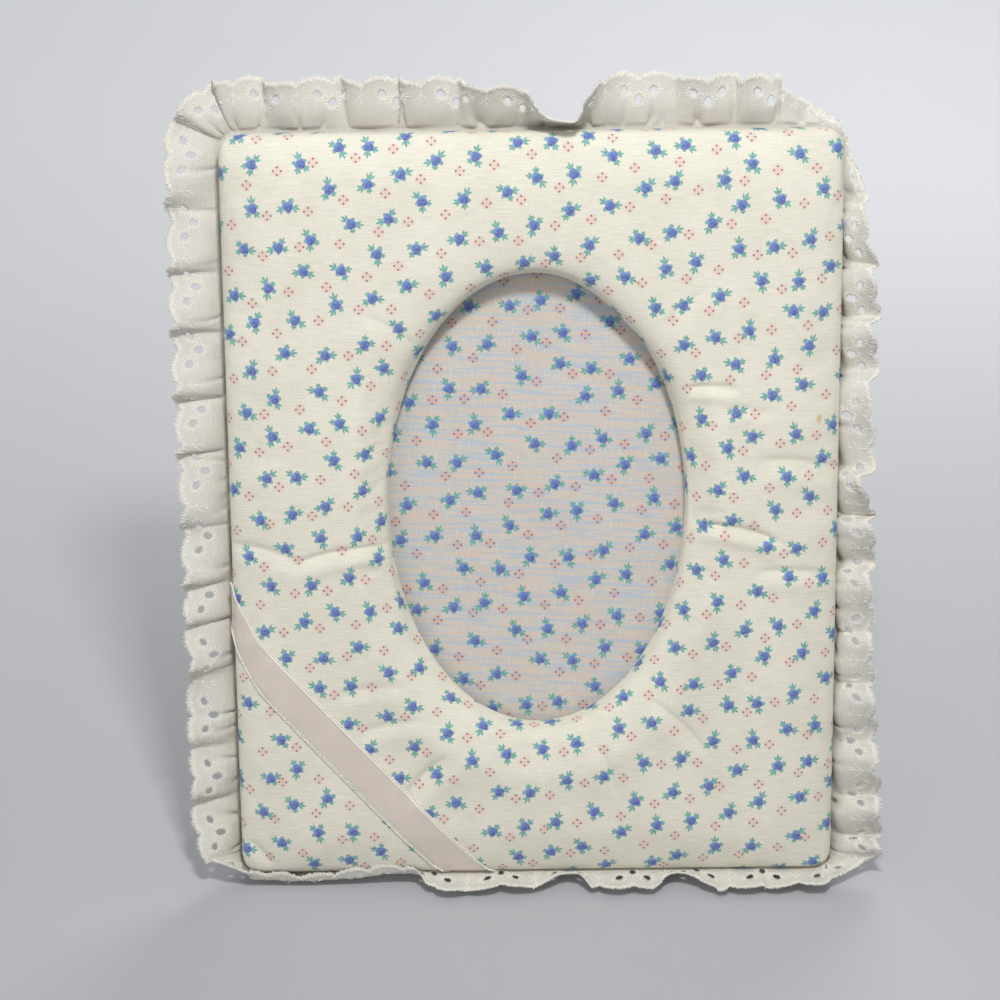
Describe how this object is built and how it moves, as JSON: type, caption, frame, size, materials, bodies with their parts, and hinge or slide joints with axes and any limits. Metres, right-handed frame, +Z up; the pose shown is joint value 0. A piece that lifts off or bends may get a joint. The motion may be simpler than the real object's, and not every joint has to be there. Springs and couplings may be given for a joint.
{
  "type": "padded fabric photo frame",
  "caption": "Padded cotton photo frame with an oval opening, gathered eyelet ruffle, satin corner ribbon and a hinged easel leg.",
  "frame": {"origin": "on the surface the frame stands on, under the middle of its outer box", "axes": "+Z up, the padded front faces -Y and leans back by 12 degrees, +X to the right seen from the front"},
  "size_m": [0.2452, 0.106, 0.2745],
  "materials": {
    "greyboard": "plain greyboard",
    "wadding": "soft polyester wadding",
    "printed_cotton": "plain weave cotton with a small flower print",
    "back_cotton": "plain weave unprinted cotton",
    "heading_tape": "cotton tape",
    "eyelet_cotton": "white cotton with eyelet embroidery",
    "satin_ribbon": "cream satin with corded edges",
    "hinge_steel": "stamped, nickel plated",
    "rivet_brass": "domed, satin"
  },
  "bodies": {
    "frame": {"front_board": "greyboard", "front_padding": "wadding", "front_cover": "printed_cotton", "corner_ribbon": "satin_ribbon", "heading_band": "heading_tape", "eyelet_ruffle": "eyelet_cotton", "pocket_strip_left": "greyboard", "pocket_strip_right": "greyboard", "pocket_strip_bottom": "greyboard", "backing_board": "greyboard", "backing_cover": "printed_cotton", "back_board": "greyboard", "back_cover": "back_cotton", "hinge_fixed_leaf": "hinge_steel", "hinge_pin": "hinge_steel", "hinge_rivet_left": "hinge_steel", "hinge_rivet_right": "hinge_steel", "stay_ribbon": "satin_ribbon", "stay_rivet_back": "rivet_brass"},
    "leg": {"hinge_moving_leaf": "hinge_steel", "leg_board": "greyboard", "leg_cover": "back_cotton", "leg_rivet_left": "hinge_steel", "leg_rivet_right": "hinge_steel", "stay_rivet_leg": "rivet_brass"}
  },
  "joints": [
    {"name": "leg_hinge", "type": "hinge", "parent": "frame", "child": "leg", "pos_m": [0, 0.00712, 0.14859], "axis": [1, 0, 0], "range_deg": [-27, 0], "deforming": ["stay_ribbon"]}
  ]
}
